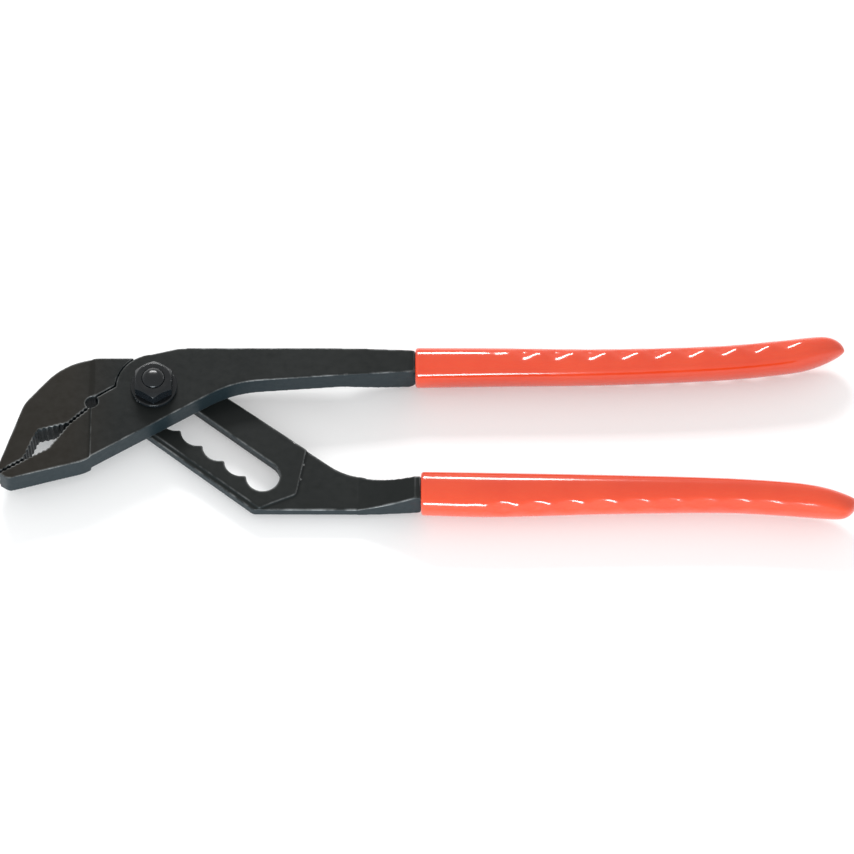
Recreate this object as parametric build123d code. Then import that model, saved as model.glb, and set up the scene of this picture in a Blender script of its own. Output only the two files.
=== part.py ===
from build123d import *
import os
from math import cos, radians, sin

os.makedirs("parts", exist_ok=True)

# Frame, in millimetres: the origin is where the pivot axis meets the surface that the pliers lie on,
# +X runs along the handles, +Y from the lower handle to the upper one, and +Z out of the nut side.

# Driving dimensions of the stack along the pivot axis, from the resting surface up.
HEAD_THICKNESS = 2.6
ARM_THICKNESS = 4.65
FRONT_THICKNESS = 9.1
FACE_GAP = 0.05
LAYER_GAP = 0.1
WASHER_THICKNESS = 1.6
NUT_HEIGHT = 5.5
BOLT_END_HEIGHT = 1.8

ARM_BACK = HEAD_THICKNESS + FACE_GAP
ARM_FRONT = ARM_BACK + ARM_THICKNESS
LEVER_BACK = ARM_FRONT + LAYER_GAP
LEVER_FRONT = LEVER_BACK + FRONT_THICKNESS
WASHER_BASE = LEVER_FRONT + FACE_GAP
NUT_BASE = WASHER_BASE + WASHER_THICKNESS
NUT_TOP = NUT_BASE + NUT_HEIGHT
JAW_BACK = 5.5
JAW_FRONT = 15.7
JAW_STEP_WIDTH = 2.1
BEARING_HEIGHT = 0.75
BEARING_INSET = 1.2

# Pivot hardware: an M8 bolt with a wide low head, a plain washer and a hexagon nut.
SHANK_RADIUS = 3.95
SHANK_HOLE_RADIUS = 4.0
HEAD_RADIUS = 8.8
HEAD_EDGE = 0.9
WASHER_RADIUS = 8.2
NUT_ACROSS_FLATS = 13.0
NUT_CHAMFER_RADIUS = 5.9
NUT_CHAMFER_HEIGHT = 1.5
WASHER_CLEARANCE = 0.2
WASHER_EDGE = 0.3

# Slotted arm of the rear lever, in axes along the slot and square to it.
ARM_ANGLE = 37.8
ARM_EDGE_LOW = -12.3
ARM_EDGE_HIGH = 16.7
SLOT_PITCH = 9.8
SLOT_POSITIONS = 6
SLOT_RADIUS = 5.9
SLOT_OFFSET = -0.3
SLOT_LANE_LOW = -4.05
SLOT_TRAVEL = SLOT_PITCH * (SLOT_POSITIONS - 1)

# Jaws: the toothed line runs from the throat to the tip, with a hollow for round stock.
JAW_START = (-23.3, -7.8)
JAW_ANGLE = 42.9
JAW_LENGTH = 39.8
JAW_GAP = 0.3
TOOTH_PITCH = 1.66
TOOTH_DEPTH = 0.55
HOLLOW_START = 9.0
HOLLOW_END = 29.6
TIP_SLOPE = 0.2
UPPER_HOLLOW_PEAK = (18.6, 5.1)
LOWER_HOLLOW_PEAK = (20.8, 2.2)
THROAT_CENTRE = (-21.8, -5.6)
THROAT_RADIUS = 2.3

# Front lever: a round boss turns in a hollow shoulder of the rear lever.
BOSS_RADIUS = 13.5
SHOULDER_RADIUS = 13.8
HEEL_X = -21.9
HEEL = (-24.3, -28.8)
LOWER_TIP = (-50.3, -35.7)
NECK_CORNER = (27.6, 2.2)
ROOT_TOP_Y = 11.9
ROOT_LOW_Y = 1.2
UPPER_HANDLE_LOW = 5.0
UPPER_HANDLE_HIGH = 15.9

# Handles: flat near the joint, deeper at the grips, with a tang inside each grip.
FLARE_START_X = 66.0
UPPER_MOUTH_X = 92.0
LOWER_MOUTH_X = 94.0
SHOULDER_LENGTH = 2.0
HANDLE_MID_Z = 9.5
TANG_DEPTH = 9.6
TANG_EDGE = 2.2
GRIP_DEPTH = 14.0
GRIP_EDGE = 4.4


def prism(face, low, high):
    """Solid of a plan outline between two heights."""
    return extrude(Pos(0, 0, low) * face, amount=high - low)


def rounded_face(corners):
    """Closed plan outline from (x, y, corner radius) rows."""
    points = [(x, y) for x, y, _ in corners]
    radii = [radius for _, _, radius in corners]
    return make_face(FilletPolyline(*points, radius=radii, close=True))


def arm_point(along, across):
    """Plan point given along the slot and square to it."""
    angle = radians(ARM_ANGLE)
    x = along * cos(angle) + across * sin(angle)
    y = -along * sin(angle) + across * cos(angle)
    return x, y


def jaw_point(along, away):
    """Plan point given along the jaw line from the throat and away from it, towards the lower jaw."""
    angle = radians(JAW_ANGLE)
    x = JAW_START[0] - along * cos(angle) + away * sin(angle)
    y = JAW_START[1] - along * sin(angle) - away * cos(angle)
    return x, y


def hollow_depth(along, peak):
    """Depth of the pipe hollow at a place on the jaw line: two straight flanks that meet at the peak."""
    peak_along, peak_depth = peak
    if HOLLOW_START < along <= peak_along:
        return peak_depth * (along - HOLLOW_START) / (peak_along - HOLLOW_START)
    if peak_along < along < HOLLOW_END:
        return peak_depth * (HOLLOW_END - along) / (HOLLOW_END - peak_along)
    return 0.0


def tip_bend(along):
    """How far the jaw line turns towards the upper jaw beyond the hollow."""
    return TIP_SLOPE * max(0.0, along - HOLLOW_END)


def toothed_edge(peak, side):
    """Plan points of one jaw's toothed edge from throat to tip, side +1 below the line and -1 above."""
    steps = int(JAW_LENGTH / TOOTH_PITCH) * 2
    spacing = JAW_LENGTH / steps
    points = []
    for step in range(steps + 1):
        along = step * spacing
        tooth = TOOTH_DEPTH * (step % 2)
        away = side * (JAW_GAP / 2 + hollow_depth(along, peak) + tooth)
        points.append(jaw_point(along, away - tip_bend(along)))
    return points


def upper_jaw_face():
    """Plan outline of the rear lever's root and upper jaw."""
    teeth = toothed_edge(UPPER_HOLLOW_PEAK, -1)
    outline = FilletPolyline(
        (0.0, ROOT_LOW_Y),
        (0.0, ROOT_TOP_Y),
        (-30.4, ROOT_TOP_Y),
        (-45.6, -5.9),
        (-54.4, -31.9),
        teeth[-1],
        radius=[0, 25.0, 12.0, 1.2],
    )
    seam = Polyline(teeth[0], (-21.6, -4.0), (-13.4, ROOT_LOW_Y), (0.0, ROOT_LOW_Y))
    face = make_face(outline.edges() + Polyline(*teeth).edges() + seam.edges())
    return face - Circle(SHOULDER_RADIUS) - Pos(*THROAT_CENTRE) * Circle(THROAT_RADIUS)


def front_lever_face():
    """Plan outline of the whole flat part of the front lever, from jaw tip to the handle's flare."""
    teeth = toothed_edge(LOWER_HOLLOW_PEAK, 1)
    outline = FilletPolyline(
        teeth[-1],
        LOWER_TIP,
        HEEL,
        NECK_CORNER,
        (FLARE_START_X, UPPER_HANDLE_LOW),
        (FLARE_START_X, UPPER_HANDLE_HIGH),
        (8.6, UPPER_HANDLE_HIGH),
        (-3.8, 12.7),
        (-12.8, 0.9),
        (-21.4, -4.6),
        teeth[0],
        radius=[3.0, 14.0, 40.0, 0, 0, 22.0, 0, 0, 0],
    )
    face = make_face(outline.edges() + Polyline(*teeth).edges())
    boss = Circle(BOSS_RADIUS) & make_face(Polyline(HEEL, NECK_CORNER, (0, 30), (-30, 30), close=True))
    return face + boss - Pos(*THROAT_CENTRE) * Circle(THROAT_RADIUS)


def slot_face():
    """Plan outline of the adjusting slot: a straight lane with a round seat at each position."""
    lane_height = SLOT_OFFSET + SLOT_RADIUS - SLOT_LANE_LOW
    lane_mid = SLOT_LANE_LOW + lane_height / 2
    centre = arm_point(SLOT_TRAVEL / 2, lane_mid)
    slot = Pos(*centre) * Rot(0, 0, -ARM_ANGLE) * Rectangle(SLOT_TRAVEL, lane_height)
    for position in range(SLOT_POSITIONS):
        seat = arm_point(position * SLOT_PITCH, SLOT_OFFSET)
        slot += Pos(*seat) * Circle(SLOT_RADIUS)
    return slot


def arm_face():
    """Plan outline of the thin arm and the flat start of the lower handle."""
    corners = [
        (-18.0, ROOT_TOP_Y, 0),
        (*arm_point(2.2, 15.9), 9.0),
        (*arm_point(30.0, ARM_EDGE_HIGH), 0),
        (66.5, -29.2, 24.0),
        (FLARE_START_X + 9.0, -30.7, 0),
        (FLARE_START_X + 9.0, -43.5, 0),
        (35.2, -43.4, 3.0),
        (*arm_point(-12.0, ARM_EDGE_LOW), 0),
        (-20.4, -2.6, 0),
    ]
    return rounded_face(corners)


def bearing_face():
    """Plan outline of the raised strip that the front lever slides on, with a blunt end."""
    low = ARM_EDGE_LOW + BEARING_INSET
    high = ARM_EDGE_HIGH + 1.0
    corners = [
        (*arm_point(-17.0, low), 0),
        (*arm_point(SLOT_TRAVEL + 6.8, low), 1.5),
        (*arm_point(SLOT_TRAVEL + 13.8, 1.2), 2.0),
        (*arm_point(SLOT_TRAVEL + 5.5, high), 0),
        (*arm_point(-17.0, high), 0),
    ]
    return rounded_face(corners)


def handle_flare(rows, straight=False):
    """Solid through upright rectangles, each (x, low y, high y, low z, high z)."""
    sections = []
    for x, low_y, high_y, low_z, high_z in rows:
        middle = (x, (low_y + high_y) / 2, (low_z + high_z) / 2)
        upright = Plane(origin=middle, x_dir=(0, 1, 0), z_dir=(1, 0, 0))
        sections.append(upright * Rectangle(high_y - low_y, high_z - low_z))
    return loft(sections, ruled=straight)


def band_face(rows):
    """Plan outline along a handle from (x, y, half width) rows, with a round far end."""
    upper = Spline(*[(x, y + half) for x, y, half in rows])
    lower = Spline(*[(x, y - half) for x, y, half in rows])
    start = Line(upper @ 0, lower @ 0)
    tip = ((upper @ 1) + (lower @ 1)) / 2 + Vector(rows[-1][2], 0, 0)
    end = ThreePointArc(upper @ 1, tip, lower @ 1)
    return make_face([upper.edge(), lower.edge(), start.edge(), end.edge()])


def rounded_bar(rows, depth, radius):
    """Handle-shaped bar about the handles' middle height, with its long edges rounded."""
    bar = prism(band_face(rows), HANDLE_MID_Z - depth / 2, HANDLE_MID_Z + depth / 2)
    edges = bar.faces().sort_by(Axis.Z)[0].edges() + bar.faces().sort_by(Axis.Z)[-1].edges()
    start_x = rows[0][0]
    long_edges = [edge for edge in edges if edge.center().X > start_x + 0.1]
    return fillet(long_edges, radius)


def slope_cut(x_high, x_low, z_high, z_low):
    """Wedge that slopes the front face down from x_high to x_low and clears it beyond."""
    tall = 30.0
    wide = 60.0
    profile = make_face(Polyline(
        (x_high, z_high),
        (x_low, z_low),
        (x_low - wide, z_low),
        (x_low - wide, tall),
        (x_high, tall),
        close=True,
    ))
    return extrude(Plane.XZ * profile, amount=wide, both=True)


def front_lever():
    """Upper handle, round boss, neck and lower jaw, one forging in front of the arm."""
    plan = front_lever_face()
    jaw_zone = Pos(HEEL_X - 30, -20, 0) * Rectangle(60, 60)
    jaw = prism(plan & jaw_zone, JAW_BACK, LEVER_FRONT)
    flare = handle_flare(UPPER_FLARE) + handle_flare([UPPER_FLARE[-1], UPPER_SHOULDER], straight=True)
    tang = rounded_bar(UPPER_TANG, TANG_DEPTH, TANG_EDGE)
    body = prism(plan, LEVER_BACK, LEVER_FRONT) + jaw + flare + tang
    body -= slope_cut(HEEL_X, HEEL_X - 0.6, LEVER_FRONT, JAW_FRONT)
    return body - Cylinder(SHANK_HOLE_RADIUS, 60)


def rear_lever():
    """Lower handle, slotted arm, hollow shoulder and upper jaw, one forging behind the front lever."""
    arm = prism(arm_face(), ARM_BACK, ARM_FRONT - BEARING_HEIGHT)
    arm += prism(bearing_face() & arm_face(), ARM_BACK, ARM_FRONT)
    plan = upper_jaw_face()
    root_zone = Pos(HEEL_X + 30, 0, 0) * Rectangle(60, 60)
    root = prism(plan & root_zone, ARM_BACK, LEVER_FRONT)
    jaw = prism(plan, JAW_BACK, LEVER_FRONT)
    flare = handle_flare(LOWER_FLARE) + handle_flare([LOWER_FLARE[-1], LOWER_SHOULDER], straight=True)
    tang = rounded_bar(LOWER_TANG, TANG_DEPTH, TANG_EDGE)
    body = arm + root + jaw + flare + tang
    slope_start = HEEL_X + JAW_STEP_WIDTH / 2
    body -= slope_cut(slope_start, slope_start - JAW_STEP_WIDTH, LEVER_FRONT, JAW_FRONT)
    return body - prism(slot_face(), 0, ARM_FRONT + 1)


def grip(rows, tang_rows):
    """Dipped sleeve around a handle's tang."""
    outer = rounded_bar(rows, GRIP_DEPTH, GRIP_EDGE)
    return outer - rounded_bar(tang_rows, TANG_DEPTH, TANG_EDGE)


def pivot_bolt():
    """Low round head behind the arm, plain shank, and a rounded end that stands out of the nut."""
    head = Pos(0, 0, HEAD_THICKNESS / 2) * Cylinder(HEAD_RADIUS, HEAD_THICKNESS)
    head = chamfer(head.edges().group_by(Axis.Z)[0], HEAD_EDGE)
    top = NUT_TOP + BOLT_END_HEIGHT
    shank = Pos(0, 0, top / 2) * Cylinder(SHANK_RADIUS, top)
    shank = fillet(shank.edges().group_by(Axis.Z)[-1], BOLT_END_HEIGHT)
    return head + shank


def pivot_washer():
    """Plain washer on the front lever."""
    hole = Circle(SHANK_HOLE_RADIUS + WASHER_CLEARANCE)
    ring = prism(Circle(WASHER_RADIUS) - hole, WASHER_BASE, NUT_BASE)
    return chamfer(ring.edges().group_by(Axis.Z)[-1].sort_by(SortBy.RADIUS)[-1], WASHER_EDGE)


def pivot_nut():
    """Hexagon nut, chamfered on its outer side, screwed on the bolt."""
    flats = RegularPolygon(NUT_ACROSS_FLATS / 2, 6, major_radius=False, rotation=30)
    blank = prism(flats, NUT_BASE, NUT_TOP)
    corner_radius = NUT_ACROSS_FLATS / 2 / cos(radians(30))
    barrel = prism(Circle(corner_radius), NUT_BASE, NUT_TOP)
    inset = corner_radius - NUT_CHAMFER_RADIUS
    barrel = chamfer(barrel.edges().group_by(Axis.Z)[-1], NUT_CHAMFER_HEIGHT, inset)
    return (blank & barrel) - prism(Circle(SHANK_RADIUS), 0, NUT_TOP + 1)


# Handle sections near the grips, each (x, low y, high y, low z, high z), and the shoulder at the mouth.
UPPER_FLARE = (
    (FLARE_START_X, UPPER_HANDLE_LOW, UPPER_HANDLE_HIGH, LEVER_BACK, LEVER_FRONT),
    (UPPER_MOUTH_X - 14.0, 5.9, 15.9, 5.2, 16.1),
    (UPPER_MOUTH_X - SHOULDER_LENGTH, 6.9, 15.8, 3.7, 15.5),
)
UPPER_SHOULDER = (UPPER_MOUTH_X, 7.4, 15.6, 4.3, 15.2)
LOWER_FLARE = (
    (FLARE_START_X + 6.0, -43.5, -30.4, ARM_BACK, ARM_FRONT - BEARING_HEIGHT),
    (LOWER_MOUTH_X - 13.0, -43.5, -33.0, 2.9, 9.8),
    (LOWER_MOUTH_X - SHOULDER_LENGTH, -43.3, -34.3, 3.7, 15.3),
)
LOWER_SHOULDER = (LOWER_MOUTH_X, -43.2, -34.4, 4.0, 15.1)

# Tangs and grips along the handles, each row (x, middle y, half width).
UPPER_TANG = [(89.0, 11.4, 4.3), (160.0, 11.9, 4.0), (200.0, 13.5, 3.6), (232.0, 17.2, 3.4)]
LOWER_TANG = [(91.0, -38.6, 4.4), (140.0, -39.0, 4.2), (200.0, -39.3, 3.6), (235.0, -42.1, 3.4)]
UPPER_GRIP = [(UPPER_MOUTH_X, 11.6, 6.6), (160.0, 11.9, 5.8), (200.0, 13.5, 5.5), (238.5, 18.2, 5.0)]
LOWER_GRIP = [
    (LOWER_MOUTH_X, -38.5, 7.0),
    (120.0, -39.1, 7.2),
    (160.0, -38.9, 6.2),
    (200.0, -39.3, 5.4),
    (241.6, -42.7, 5.0),
]

NODES = {
    "front_lever": front_lever(),
    "rear_lever": rear_lever(),
    "pivot_bolt": pivot_bolt(),
    "pivot_washer": pivot_washer(),
    "pivot_nut": pivot_nut(),
    "upper_grip": grip(UPPER_GRIP, UPPER_TANG),
    "lower_grip": grip(LOWER_GRIP, LOWER_TANG),
}

for name, solid in NODES.items():
    export_step(solid, "parts/" + name + ".step")
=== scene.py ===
from math import cos, exp, pi, radians, sin, sqrt

import bmesh
import bpy
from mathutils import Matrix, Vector


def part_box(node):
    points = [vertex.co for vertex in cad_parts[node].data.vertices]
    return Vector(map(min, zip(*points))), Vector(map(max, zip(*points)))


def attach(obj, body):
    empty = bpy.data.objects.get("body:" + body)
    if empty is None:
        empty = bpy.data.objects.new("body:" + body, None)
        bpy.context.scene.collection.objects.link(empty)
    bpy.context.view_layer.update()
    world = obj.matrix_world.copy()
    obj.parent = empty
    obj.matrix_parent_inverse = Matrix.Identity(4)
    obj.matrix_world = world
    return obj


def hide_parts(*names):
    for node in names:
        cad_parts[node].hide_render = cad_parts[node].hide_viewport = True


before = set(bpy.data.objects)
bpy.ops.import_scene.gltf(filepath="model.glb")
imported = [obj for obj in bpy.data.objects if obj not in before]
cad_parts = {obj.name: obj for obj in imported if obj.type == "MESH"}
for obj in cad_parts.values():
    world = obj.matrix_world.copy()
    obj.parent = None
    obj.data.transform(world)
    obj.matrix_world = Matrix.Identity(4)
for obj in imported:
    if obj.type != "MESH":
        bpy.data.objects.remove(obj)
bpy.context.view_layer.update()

MM = 0.001

# View: degrees above the floor, metres to the target and across the picture there, sensor in millimetres.
VIEW_ELEVATION = 62.0
VIEW_DISTANCE = 2.0
VIEW_WIDTH = 0.301
VIEW_SENSOR = 36.0
VIEW_TARGET = Vector((96.2, -12.05, 9.5)) * MM

# Steel skins: reach of the weld, cells of the even mesh, and strength and passes of the smoothing on it.
WELD_REACH = 0.002 * MM
SMOOTHING = 0.5
FORGING_VOXEL = 0.3 * MM
EDGE_PASSES = 9
TOOTH_PASSES = 1
HARDWARE_VOXEL = 0.15 * MM
HARDWARE_PASSES = 10

# The bolt's end falls by the dome's height from its axis out to its radius.
BOLT_END_RADIUS = 4.0 * MM
BOLT_END_DOME = 1.0 * MM

# Jaw line in plan, from the throat to the tip, and the band beside it that holds the teeth and the hollow.
JAW_START = Vector((-23.3, -7.8)) * MM
JAW_ANGLE = radians(42.9)
JAW_LENGTH = 40.0 * MM
TOOTH_BAND = 7.5 * MM
TOOTH_FADE = 1.5 * MM
THROAT_MARGIN = 4.0 * MM
TIP_MARGIN = 2.0 * MM

# Dipped grips: the section is a superellipse whose exponent falls from the mouth to the tip.
GRIP_MIDDLE = 9.5 * MM
GRIP_HALF_DEPTH = 7.0 * MM
MOUTH_EXPONENT = 2.55
EXPONENT_LOSS = 0.25
TIP_POWER = 0.6
BUMP_PITCH = 11.65 * MM
RING_POINTS = 56

# Rings along a grip: a rolled lip at the mouth, even steps, then a run that gets finer up to the tip.
LIP = 1.1 * MM
LIP_STEPS = 5
RING_GAP = 0.97 * MM
TIP_RUN = 12.0 * MM
TIP_STEPS = 16

# Cavity round the tang: it starts just inside the mouth and ends in a rounded nose.
CAVITY_HALF_DEPTH = 4.95 * MM
CAVITY_POWER = 0.6
CAVITY_START = 0.4 * MM
CAVITY_STEPS = 28
NOSE_STEPS = 5
NOSE_POWER = 0.5

# Each grip in millimetres and degrees. Its rows are (x, low y, high y), and past low_end, high_end and
# depth_end the section closes to the tip. outer is the way that its outer side faces along y. The bumps run
# between two x, in rows at bump_angles, where 0 faces up and 90 to the outer side, and lose a share of their
# depth on the way. The tang's rows are (x, middle y, half width).
UPPER = {
    "name": "upper_grip_skin",
    "rows": [
        (92, 4.9, 18.3),
        (120, 5.4, 18.2),
        (160, 6.0, 17.8),
        (200, 7.9, 19.1),
        (222, 10.2, 21.3),
        (244.4, 14.0, 24.0),
    ],
    "tip": (244.4, 18.5),
    "low_end": 226,
    "high_end": 235,
    "depth_end": 230,
    "outer": 1,
    "bumps": (118.5, 240.0),
    "bump_angles": (20.0, 155.0),
    "bump_spread": 25.0,
    "bump_depth": 1.0,
    "bump_loss": 0.0,
    "tang": [(92, 11.4, 4.5), (160, 11.9, 4.2), (200, 13.5, 3.8), (232, 17.2, 3.6)],
}
LOWER = {
    "name": "lower_grip_skin",
    "rows": [
        (94, -45.9, -31.1),
        (120, -46.6, -31.5),
        (160, -45.4, -32.4),
        (200, -44.9, -33.7),
        (222, -46.1, -35.2),
        (247.0, -48.2, -38.0),
    ],
    "tip": (247.0, -41.7),
    "low_end": 240.5,
    "high_end": 224,
    "depth_end": 232,
    "outer": -1,
    "bumps": (110.5, 234.0),
    "bump_angles": (66.0, 150.0),
    "bump_spread": 17.0,
    "bump_depth": 0.9,
    "bump_loss": 0.6,
    "tang": [(94, -38.6, 4.5), (140, -39.0, 4.4), (200, -39.3, 3.8), (235, -42.1, 3.6)],
}

# Finishes of the black steel: colours, roughness, two reliefs, and where the worn edges start and are bare.
# The grey on those edges is partly wear and partly a painted highlight.
FORGED_FINISH = {
    "dark": (0.0065, 0.0080, 0.0078),
    "light": (0.0095, 0.0112, 0.0108),
    "jaw": (0.0130, 0.0112, 0.0082),
    # Painted reflection: the walls get this lighter, bluer colour in place of the reflected front light.
    "side": (0.0110, 0.0180, 0.0215),
    "roughness": 0.36,
    "uneven": 0.25,
    "grain": 0.30,
    "worn_and_highlit_start": 0.507,
    "worn_and_highlit_full": 0.550,
    "specular": 0.14,
    "coat": 0.0,
}
TURNED_FINISH = {
    "dark": (0.0050, 0.0060, 0.0070),
    "light": (0.0080, 0.0090, 0.0100),
    "jaw": (0.0080, 0.0080, 0.0080),
    # Painted reflection: lighter, bluer colour on the walls of the nut, washer and bolt.
    "side": (0.0060, 0.0080, 0.0100),
    "roughness": 0.20,
    "uneven": 0.60,
    "grain": 0.10,
    "worn_and_highlit_start": 0.53,
    "worn_and_highlit_full": 0.57,
    "specular": 0.16,
    "coat": 0.22,
}

# Steel: the jaw's tint comes in between two x, and the faces' colours as the surface turns upward. Roughness
# goes a little below and above its finish's value. Between the patches, edges keep a share of their wear and
# painted highlight.
JAW_TINT_START = -12.0 * MM
JAW_TINT_FULL = -30.0 * MM
# Below FACE_START the steel takes its side colour, a painted reflection that is lighter and bluer than the
# faces.
FACE_START = 0.3
FACE_FULL = 0.8
ROUGHNESS_BELOW = 0.06
ROUGHNESS_ABOVE = 0.08
LEAST_WEAR_AND_HIGHLIGHT = 0.1
BARE_METALLIC = 0.7
# Grey of the sharp edges: worn bare steel, and also a painted highlight along them.
BARE_STEEL_AND_HIGHLIGHT = (0.21, 0.215, 0.215)
UNEVEN_HEIGHT = 0.25 * MM
GRAIN_HEIGHT = 0.06 * MM

# Vinyl: colours, range of roughness, and its two reliefs, each with a strength and a height.
VINYL_DARK = (0.600, 0.042, 0.008)
VINYL_LIGHT = (0.640, 0.053, 0.011)
VINYL_ROUGHNESS = (0.14, 0.24)
RUNS_RELIEF = (0.12, 0.3 * MM)
PEEL_RELIEF = (0.05, 0.05 * MM)

# Noises: lumps per metre, detail and roughness. Two run on coordinates that are stretched along each axis.
STEEL_CLOUDS = (38.0, 4.0, 0.6)
STEEL_PATCHES = (130.0, 4.0, 0.65)
STEEL_UNEVEN = (190.0, 3.0, 0.5)
STEEL_RUBBED = (420.0, 4.0, 0.6)
STEEL_GRAIN = (1500.0, 3.0, 0.6)
VINYL_CLOUDS = (60.0, 3.0, 0.5)
VINYL_HANDLED = (1.0, 4.0, 0.6)
HANDLED_STRETCH = (120.0, 420.0, 420.0)
VINYL_RUNS = (1.0, 2.0, 0.5)
RUNS_STRETCH = (90.0, 260.0, 260.0)
VINYL_PEEL = (900.0, 2.0, 0.5)
FLOOR_CLOUDS = (3.0, 2.0, 0.5)

# Parts of a noise's range that are spread out, which makes its contrast stronger.
MIDDLE_NOISE = (0.35, 0.65)
WIDE_NOISE = (0.3, 0.7)
PATCHES_NOISE = (0.40, 0.62)
HANDLED_NOISE = (0.35, 0.75)

# Sockets of the mix node that hold its two colours, and the one that holds their mixture.
MIX_COLOURS = (6, 7)
MIX_RESULT = 2

# Floor and lights. Each light has a name, a place, a length and a width in metres, watts and a colour.
WHITE = (1.0, 1.0, 1.0)
FLOOR_SIZE = 8.0
FLOOR_MIDDLE = (0.1, 0.0, 0.0)
FLOOR_DARK = (0.74, 0.74, 0.74)
FLOOR_LIGHT = (0.76, 0.76, 0.76)
LIGHTS = (
    ("back_light", (-0.04, 0.72, 0.54), 0.42, 0.16, 6.0, WHITE),
    ("front_light", (-0.05, -0.80, 0.11), 0.42, 0.19, 6.6, (0.86, 0.95, 1.0)),
)
SURROUNDINGS_STRENGTH = 0.90


# ---------------------------------------------------------------- meshes

def add_piece(name, mesh):
    """A new object of that mesh in the scene."""
    piece = bpy.data.objects.new(name, mesh)
    bpy.context.scene.collection.objects.link(piece)
    return piece


def bake(piece):
    """Applies a piece's modifiers to its mesh and removes them."""
    bpy.context.view_layer.update()
    graph = bpy.context.evaluated_depsgraph_get()
    mesh = bpy.data.meshes.new_from_object(piece.evaluated_get(graph))
    piece.modifiers.clear()
    piece.data = mesh


def welded_copy(node, name):
    """A new piece with a CAD node's mesh, its split corners joined."""
    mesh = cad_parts[node].data.copy()
    mesh.materials.clear()
    shape = bmesh.new()
    shape.from_mesh(mesh)
    bmesh.ops.remove_doubles(shape, verts=shape.verts, dist=WELD_REACH)
    shape.to_mesh(mesh)
    shape.free()
    return add_piece(name, mesh)


def even_skin(piece, voxel):
    """Adds the remesh that gives a piece an even mesh of small cells."""
    remesh = piece.modifiers.new("skin", "REMESH")
    remesh.mode = "VOXEL"
    remesh.voxel_size = voxel


def soften(piece, passes, group=""):
    """Adds the smoothing that rounds a piece's edges."""
    smooth = piece.modifiers.new("soften", "SMOOTH")
    smooth.factor = SMOOTHING
    smooth.iterations = passes
    smooth.vertex_group = group


def tooth_weight(point):
    """1 on the toothed band along the jaw line, falling to 0 away from it."""
    along_way = Vector((-cos(JAW_ANGLE), -sin(JAW_ANGLE)))
    away_way = Vector((along_way.y, -along_way.x))
    offset = Vector((point.x, point.y)) - JAW_START
    along = offset.dot(along_way)
    away = abs(offset.dot(away_way))
    if along < -THROAT_MARGIN or along > JAW_LENGTH + TIP_MARGIN:
        return 0.0
    return min(1.0, max(0.0, (TOOTH_BAND - away) / TOOTH_FADE))


def forged_piece(node, name):
    """A lever with the node's shape and the softened edges of a forging; the teeth stay crisp."""
    piece = welded_copy(node, name)
    even_skin(piece, FORGING_VOXEL)
    bake(piece)
    group = piece.vertex_groups.new(name="plain")
    for vertex in piece.data.vertices:
        group.add([vertex.index], 1.0 - tooth_weight(vertex.co), "REPLACE")
    soften(piece, EDGE_PASSES, "plain")
    soften(piece, TOOTH_PASSES)
    bake(piece)
    piece.vertex_groups.clear()
    piece.data.shade_smooth()
    return piece


def turned_piece(node, name):
    """A small part with the node's shape and slightly rounded edges."""
    piece = welded_copy(node, name)
    even_skin(piece, HARDWARE_VOXEL)
    soften(piece, HARDWARE_PASSES)
    bake(piece)
    piece.data.shade_smooth()
    return piece


def dome_end(piece, node, below):
    """Rounds the end of a bolt where it stands out of the node below it, into a low dome."""
    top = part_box(node)[1][2]
    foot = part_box(below)[1][2]
    for vertex in piece.data.vertices:
        if vertex.co.z > foot:
            rise = (vertex.co.z - foot) / (top - foot)
            from_axis = sqrt(vertex.co.x ** 2 + vertex.co.y ** 2) / BOLT_END_RADIUS
            vertex.co.z -= rise * BOLT_END_DOME * min(from_axis, 1.0) ** 2


# ---------------------------------------------------------------- grips

def in_metres(rows):
    """Rows of millimetres as rows of metres."""
    return [[value * MM for value in row] for row in rows]


def curve_value(rows, column, x):
    """Smooth value of one column at x, from rows in order of x."""
    last = len(rows) - 1
    index = 0
    while index < last - 1 and x > rows[index + 1][0]:
        index += 1
    x0, x1 = rows[index][0], rows[index + 1][0]
    y0, y1 = rows[index][column], rows[index + 1][column]
    before = rows[max(index - 1, 0)]
    after = rows[min(index + 2, last)]
    slope0 = (y1 - before[column]) / (x1 - before[0])
    slope1 = (after[column] - y0) / (after[0] - x0)
    width = x1 - x0
    t = min(max((x - x0) / width, 0.0), 1.0)
    rise = (3 - 2 * t) * t * t
    return (
        y0 * (1 - rise)
        + y1 * rise
        + slope0 * width * t * (1 - t) ** 2
        - slope1 * width * t * t * (1 - t)
    )


def signed_power(value, power):
    """The size of a value raised to a power, with the value's sign."""
    return abs(value) ** power * (1 if value >= 0 else -1)


def closing(x, start, end):
    """1 before start, then a rounded point that reaches 0 at end."""
    if x <= start:
        return 1.0
    share = min((x - start) / (end - start), 1.0)
    return max(0.0, 1 - share * share) ** TIP_POWER


def finger_bump(spec, x, angle):
    """Height of the finger bumps at a place on the grip; angle 0 faces up, 90 degrees to the outer side."""
    first, last = spec["bumps"][0] * MM, spec["bumps"][1] * MM
    fade = min((x - first) / BUMP_PITCH, (last - x) / (2 * BUMP_PITCH), 1.0)
    if fade <= 0:
        return 0.0
    wave = 0.5 + 0.5 * cos(2 * pi * (x - first) / BUMP_PITCH)
    shallower = 1 - spec["bump_loss"] * (x - first) / (last - first)
    spread = spec["bump_spread"]
    reach = sum(exp(-(((angle - centre) / spread) ** 2)) for centre in spec["bump_angles"])
    return -spec["bump_depth"] * MM * shallower * fade * wave * reach


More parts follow.
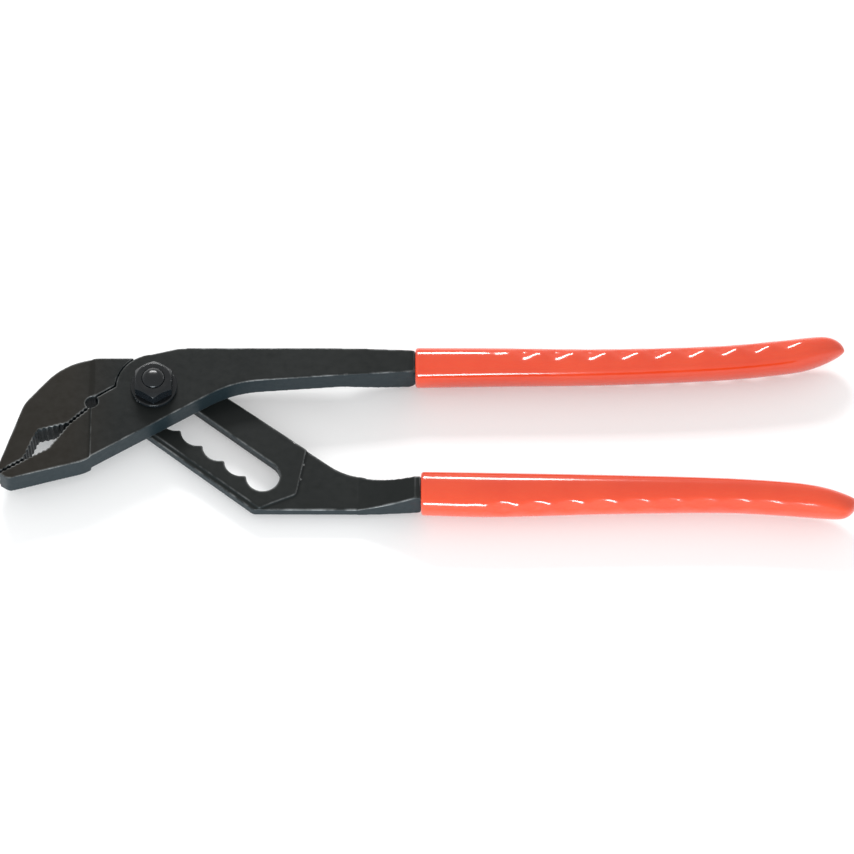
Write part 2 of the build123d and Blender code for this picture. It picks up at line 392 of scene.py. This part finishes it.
def grip_section(spec, x, shrink):
    """Ring of points round the grip at x, made smaller by shrink."""
    rows = in_metres(spec["rows"])
    low = curve_value(rows, 1, x)
    high = curve_value(rows, 2, x)
    tip_x, tip_y = spec["tip"][0] * MM, spec["tip"][1] * MM
    low = tip_y - (tip_y - low) * closing(x, spec["low_end"] * MM, tip_x)
    high = tip_y + (high - tip_y) * closing(x, spec["high_end"] * MM, tip_x)
    middle, half = (low + high) / 2, (high - low) / 2 - shrink
    depth = GRIP_HALF_DEPTH * closing(x, spec["depth_end"] * MM, tip_x) - shrink
    share = (x - rows[0][0]) / (tip_x - rows[0][0])
    power = 2 / (MOUTH_EXPONENT - EXPONENT_LOSS * share)
    points = []
    for step in range(RING_POINTS):
        angle = 2 * pi * step / RING_POINTS
        outer_angle = angle * 180 / pi
        if outer_angle > 270:
            outer_angle -= 360
        lift = finger_bump(spec, x, outer_angle)
        y = signed_power(sin(angle), power) * (half + lift) * spec["outer"]
        z = signed_power(cos(angle), power) * (depth + lift)
        points.append(Vector((x, middle + y, GRIP_MIDDLE + z)))
    return points


def grip_stations(start, end):
    """Places along a grip's outside, close together at both ends; the tip itself isn't one of them."""
    places = [start + LIP * (1 - cos(pi / 2 * step / LIP_STEPS)) for step in range(LIP_STEPS + 1)]
    x = places[-1]
    while x < end - TIP_RUN:
        x += RING_GAP
        places.append(x)
    rest = end - x
    places += [x + rest * sin(pi / 2 * step / TIP_STEPS) for step in range(1, TIP_STEPS)]
    return places


def outer_rings(spec):
    """Rings of a grip's outside, from its rolled mouth up to the tip."""
    start, end = spec["rows"][0][0] * MM, spec["tip"][0] * MM
    rings = []
    for x in grip_stations(start, end):
        inset = 0.0
        if x < start + LIP:
            share = 1 - (x - start) / LIP
            inset = LIP * (1 - sqrt(max(0.0, 1 - share * share)))
        rings.append(grip_section(spec, x, inset))
    return rings


def cavity_ring(x, middle, half, depth, outer):
    """Ring of points with the tang's rounded section, in the same order as the grip's outer rings."""
    points = []
    for step in range(RING_POINTS):
        angle = 2 * pi * step / RING_POINTS
        across = signed_power(sin(angle), CAVITY_POWER)
        upward = signed_power(cos(angle), CAVITY_POWER)
        points.append(Vector((x, middle + across * half * outer, GRIP_MIDDLE + upward * depth)))
    return points


def cavity_rings(spec):
    """Rings of a grip's inner wall round the tang, from its closed nose out to the mouth."""
    rows = in_metres(spec["tang"])
    outer = spec["outer"]
    start = rows[0][0] + CAVITY_START
    end, middle, nose = rows[-1]
    rings = []
    for step in range(NOSE_STEPS, 0, -1):
        turn = pi / 2 * step / (NOSE_STEPS + 1)
        depth = CAVITY_HALF_DEPTH * cos(turn) ** NOSE_POWER
        rings.append(cavity_ring(end + nose * sin(turn), middle, nose * cos(turn), depth, outer))
    for step in range(CAVITY_STEPS, -1, -1):
        x = start + (end - start) * step / CAVITY_STEPS
        half = curve_value(rows, 2, x)
        rings.append(cavity_ring(x, curve_value(rows, 1, x), half, CAVITY_HALF_DEPTH, outer))
    return rings


def close_ring(shape, ring, point):
    """Closes a ring of vertices with triangles to one point."""
    middle = shape.verts.new(point)
    for step in range(RING_POINTS):
        shape.faces.new((ring[step], ring[(step + 1) % RING_POINTS], middle))


def sleeve_mesh(name, rings, first_point, last_point):
    """Closed mesh through rings of points, with a point at each end."""
    shape = bmesh.new()
    loops = [[shape.verts.new(point) for point in ring] for ring in rings]
    for first, second in zip(loops, loops[1:]):
        for step in range(RING_POINTS):
            after = (step + 1) % RING_POINTS
            shape.faces.new((first[step], first[after], second[after], second[step]))
    close_ring(shape, loops[-1], last_point)
    close_ring(shape, loops[0], first_point)
    bmesh.ops.recalc_face_normals(shape, faces=shape.faces)
    mesh = bpy.data.meshes.new(name)
    shape.to_mesh(mesh)
    shape.free()
    return mesh


def grip_piece(spec):
    """A dipped grip: a closed sleeve round the tang, with a rolled mouth, finger bumps and a rounded tip."""
    tip = Vector((spec["tip"][0] * MM, spec["tip"][1] * MM, GRIP_MIDDLE))
    tang_x, tang_y, tang_half = spec["tang"][-1]
    nose = Vector((tang_x + tang_half, tang_y, GRIP_MIDDLE / MM)) * MM
    mesh = sleeve_mesh(spec["name"], cavity_rings(spec) + outer_rings(spec), nose, tip)
    piece = add_piece(spec["name"], mesh)
    subdivide = piece.modifiers.new("skin", "SUBSURF")
    subdivide.levels = 1
    subdivide.render_levels = 1
    bake(piece)
    piece.data.shade_smooth()
    return piece


# ---------------------------------------------------------------- material nodes

def new_material(name):
    """A node material, its tree, its shader and its object coordinates."""
    material = bpy.data.materials.new(name)
    material.use_nodes = True
    tree = material.node_tree
    shader = tree.nodes["Principled BSDF"]
    place = tree.nodes.new("ShaderNodeTexCoord").outputs["Object"]
    return material, tree, shader, place


def set_inputs(node, values):
    """Sets a node's inputs by their names."""
    for name, value in values.items():
        node.inputs[name].default_value = value


def noise(tree, place, scale, detail, roughness):
    """Noise value at a number of lumps per metre."""
    node = tree.nodes.new("ShaderNodeTexNoise")
    set_inputs(node, {"Scale": scale, "Detail": detail, "Roughness": roughness})
    tree.links.new(place, node.inputs["Vector"])
    return node.outputs["Fac"]


def stretched(tree, place, scale):
    """Coordinates scaled by a different amount along each axis."""
    node = tree.nodes.new("ShaderNodeMapping")
    set_inputs(node, {"Scale": scale})
    tree.links.new(place, node.inputs["Vector"])
    return node.outputs["Vector"]


def along_axis(tree, vector, axis):
    """One axis of a vector."""
    node = tree.nodes.new("ShaderNodeSeparateXYZ")
    tree.links.new(vector, node.inputs["Vector"])
    return node.outputs[axis]


def remap(tree, value, low, high, to_low=0.0, to_high=1.0):
    """Value between low and high brought to another range, and held there."""
    node = tree.nodes.new("ShaderNodeMapRange")
    set_inputs(node, {"From Min": low, "From Max": high, "To Min": to_low, "To Max": to_high})
    tree.links.new(value, node.inputs["Value"])
    return node.outputs["Result"]


def multiply(tree, first, second):
    """Product of two values."""
    node = tree.nodes.new("ShaderNodeMath")
    node.operation = "MULTIPLY"
    tree.links.new(first, node.inputs[0])
    tree.links.new(second, node.inputs[1])
    return node.outputs[0]


def mix(tree, share, first, second):
    """Colour between two, each a colour or another node's output."""
    node = tree.nodes.new("ShaderNodeMix")
    node.data_type = "RGBA"
    tree.links.new(share, node.inputs["Factor"])
    for index, colour in zip(MIX_COLOURS, (first, second)):
        if isinstance(colour, tuple):
            node.inputs[index].default_value = (*colour, 1.0)
        else:
            tree.links.new(colour, node.inputs[index])
    return node.outputs[MIX_RESULT]


def bump(tree, height, strength, distance, under=None):
    """Normal with a height's relief, on top of another normal."""
    node = tree.nodes.new("ShaderNodeBump")
    set_inputs(node, {"Strength": strength, "Distance": distance})
    tree.links.new(height, node.inputs["Height"])
    if under is not None:
        tree.links.new(under, node.inputs["Normal"])
    return node.outputs["Normal"]


# ---------------------------------------------------------------- materials

def worn_and_highlit_edges(tree, place, start, full):
    """Share of bare metal and painted edge highlight: strong on sharp outer edges, broken up by patches."""
    edge = tree.nodes.new("ShaderNodeNewGeometry").outputs["Pointiness"]
    patches = remap(tree, noise(tree, place, *STEEL_PATCHES), *PATCHES_NOISE, LEAST_WEAR_AND_HIGHLIGHT, 1.0)
    return multiply(tree, remap(tree, edge, start, full), patches)


def steel_colour(tree, place, finish, wear_and_highlight):
    """Cloudy black, browner on the jaws' faces, lighter and bluer on the sides as a painted reflection, and
    grey on sharp edges as wear and a painted highlight.
    """
    clouds = remap(tree, noise(tree, place, *STEEL_CLOUDS), *MIDDLE_NOISE)
    black = mix(tree, clouds, finish["dark"], finish["light"])
    at_jaw = remap(tree, along_axis(tree, place, "X"), JAW_TINT_START, JAW_TINT_FULL)
    normal = tree.nodes.new("ShaderNodeTexCoord").outputs["Normal"]
    upward = remap(tree, along_axis(tree, normal, "Z"), FACE_START, FACE_FULL)
    # Walls take the painted reflection colour; faces take the black or the jaw's tint.
    tinted_with_painted_sides = mix(tree, upward, finish["side"], mix(tree, at_jaw, black, finish["jaw"]))
    return mix(tree, wear_and_highlight, tinted_with_painted_sides, BARE_STEEL_AND_HIGHLIGHT)


def black_steel(name, finish):
    """Black finish on steel, thin on the edges, whose grey is both wear and a painted highlight, with two
    reliefs: unevenness and fine grain.
    """
    material, tree, shader, place = new_material(name)
    wear_and_highlight = worn_and_highlit_edges(tree, place, finish["worn_and_highlit_start"], finish["worn_and_highlit_full"])
    tree.links.new(steel_colour(tree, place, finish, wear_and_highlight), shader.inputs["Base Color"])
    tree.links.new(remap(tree, wear_and_highlight, 0.0, 1.0, 0.0, BARE_METALLIC), shader.inputs["Metallic"])
    low, high = finish["roughness"] - ROUGHNESS_BELOW, finish["roughness"] + ROUGHNESS_ABOVE
    roughness = remap(tree, noise(tree, place, *STEEL_RUBBED), *WIDE_NOISE, low, high)
    tree.links.new(roughness, shader.inputs["Roughness"])
    uneven = bump(tree, noise(tree, place, *STEEL_UNEVEN), finish["uneven"], UNEVEN_HEIGHT)
    fine = bump(tree, noise(tree, place, *STEEL_GRAIN), finish["grain"], GRAIN_HEIGHT, uneven)
    tree.links.new(fine, shader.inputs["Normal"])
    set_inputs(shader, {
        "Specular IOR Level": finish["specular"],
        "Coat Weight": finish["coat"],
        "Coat Roughness": 0.12,
    })
    return material


def red_vinyl(name):
    """Glossy dipped vinyl: deep red, faintly cloudy, with a soft unevenness under the gloss."""
    material, tree, shader, place = new_material(name)
    clouds = remap(tree, noise(tree, place, *VINYL_CLOUDS), *WIDE_NOISE)
    tree.links.new(mix(tree, clouds, VINYL_DARK, VINYL_LIGHT), shader.inputs["Base Color"])
    handled = noise(tree, stretched(tree, place, HANDLED_STRETCH), *VINYL_HANDLED)
    roughness = remap(tree, handled, *HANDLED_NOISE, *VINYL_ROUGHNESS)
    tree.links.new(roughness, shader.inputs["Roughness"])
    runs = bump(tree, noise(tree, stretched(tree, place, RUNS_STRETCH), *VINYL_RUNS), *RUNS_RELIEF)
    peel = bump(tree, noise(tree, place, *VINYL_PEEL), *PEEL_RELIEF, runs)
    tree.links.new(peel, shader.inputs["Normal"])
    set_inputs(shader, {
        "Subsurface Weight": 0.12,
        "Subsurface Radius": (1.0, 0.25, 0.15),
        "Subsurface Scale": 1.5 * MM,
        "Coat Weight": 1.0,
        "Coat Roughness": 0.10,
        "Specular IOR Level": 0.15,
        "Sheen Weight": 0.35,
        "Sheen Roughness": 0.2,
        "Sheen Tint": (1.0, 0.62, 0.58, 1.0),
    })
    return material


def pale_floor(name):
    """Matt pale floor with a faint white glow of its own, painted light that lightens its shadows."""
    material, tree, shader, place = new_material(name)
    tone = remap(tree, noise(tree, place, *FLOOR_CLOUDS), *WIDE_NOISE)
    tree.links.new(mix(tree, tone, FLOOR_DARK, FLOOR_LIGHT), shader.inputs["Base Color"])
    set_inputs(shader, {
        "Roughness": 0.75,
        # Painted light: the floor's glow lifts the shadows on it and faintly lights the pliers from below.
        "Emission Color": (*WHITE, 1.0),
        "Emission Strength": 0.24,
    })
    return material


def paint(piece, material):
    """Gives a piece its one material."""
    piece.data.materials.clear()
    piece.data.materials.append(material)


# ---------------------------------------------------------------- light and camera

def soft_light(name, place, length, width, watts, colour):
    """Rectangular light that looks at the pliers, its length along X."""
    light = bpy.data.lights.new(name, "AREA")
    light.shape = "RECTANGLE"
    light.size = length
    light.size_y = width
    light.energy = watts
    light.color = colour
    lamp = bpy.data.objects.new(name, light)
    bpy.context.scene.collection.objects.link(lamp)
    lamp.location = place
    aim = Vector((lamp.location.x, VIEW_TARGET.y, VIEW_TARGET.z)) - lamp.location
    lamp.rotation_mode = "QUATERNION"
    lamp.rotation_quaternion = aim.to_track_quat("-Z", "Y")


def make_camera():
    """Camera above the lower handle's side, looking down at the nut side."""
    camera = bpy.data.objects.new("camera", bpy.data.cameras.new("camera"))
    bpy.context.scene.collection.objects.link(camera)
    tilt = radians(VIEW_ELEVATION)
    back = Vector((0.0, -cos(tilt), sin(tilt)))
    camera.location = VIEW_TARGET + back * VIEW_DISTANCE
    camera.rotation_mode = "QUATERNION"
    camera.rotation_quaternion = (-back).to_track_quat("-Z", "Y")
    camera.data.sensor_width = VIEW_SENSOR
    camera.data.lens = VIEW_SENSOR * VIEW_DISTANCE / VIEW_WIDTH
    bpy.context.scene.camera = camera


def make_surroundings():
    """Pale floor, even surroundings and two long soft lights, one behind the pliers and one in front."""
    bpy.ops.mesh.primitive_plane_add(size=FLOOR_SIZE, location=FLOOR_MIDDLE)
    floor = bpy.context.object
    floor.name = "floor"
    floor.data.materials.append(pale_floor("pale_floor"))
    world = bpy.data.worlds.new("surroundings")
    world.use_nodes = True
    background = world.node_tree.nodes["Background"]
    set_inputs(background, {"Color": (*WHITE, 1.0), "Strength": SURROUNDINGS_STRENGTH})
    bpy.context.scene.world = world
    for light in LIGHTS:
        soft_light(*light)
    bpy.context.scene.view_settings.view_transform = "Standard"


# ---------------------------------------------------------------- the pliers

def build():
    """Every visible piece, riding on its body."""
    steel = black_steel("black_forging", FORGED_FINISH)
    hardware = black_steel("black_nut", TURNED_FINISH)
    vinyl = red_vinyl("red_vinyl")
    for node, body in (("front_lever", "front_half"), ("rear_lever", "rear_half")):
        piece = forged_piece(node, node + "_forging")
        paint(piece, steel)
        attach(piece, body)
        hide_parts(node)
    for node in ("pivot_bolt", "pivot_nut", "pivot_washer"):
        piece = turned_piece(node, node + "_turned")
        if node == "pivot_bolt":
            dome_end(piece, node, "pivot_nut")
        paint(piece, hardware)
        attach(piece, "pivot")
        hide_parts(node)
    for spec, node, body in ((UPPER, "upper_grip", "front_half"), (LOWER, "lower_grip", "rear_half")):
        piece = grip_piece(spec)
        paint(piece, vinyl)
        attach(piece, body)
        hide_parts(node)


make_camera()
make_surroundings()
build()
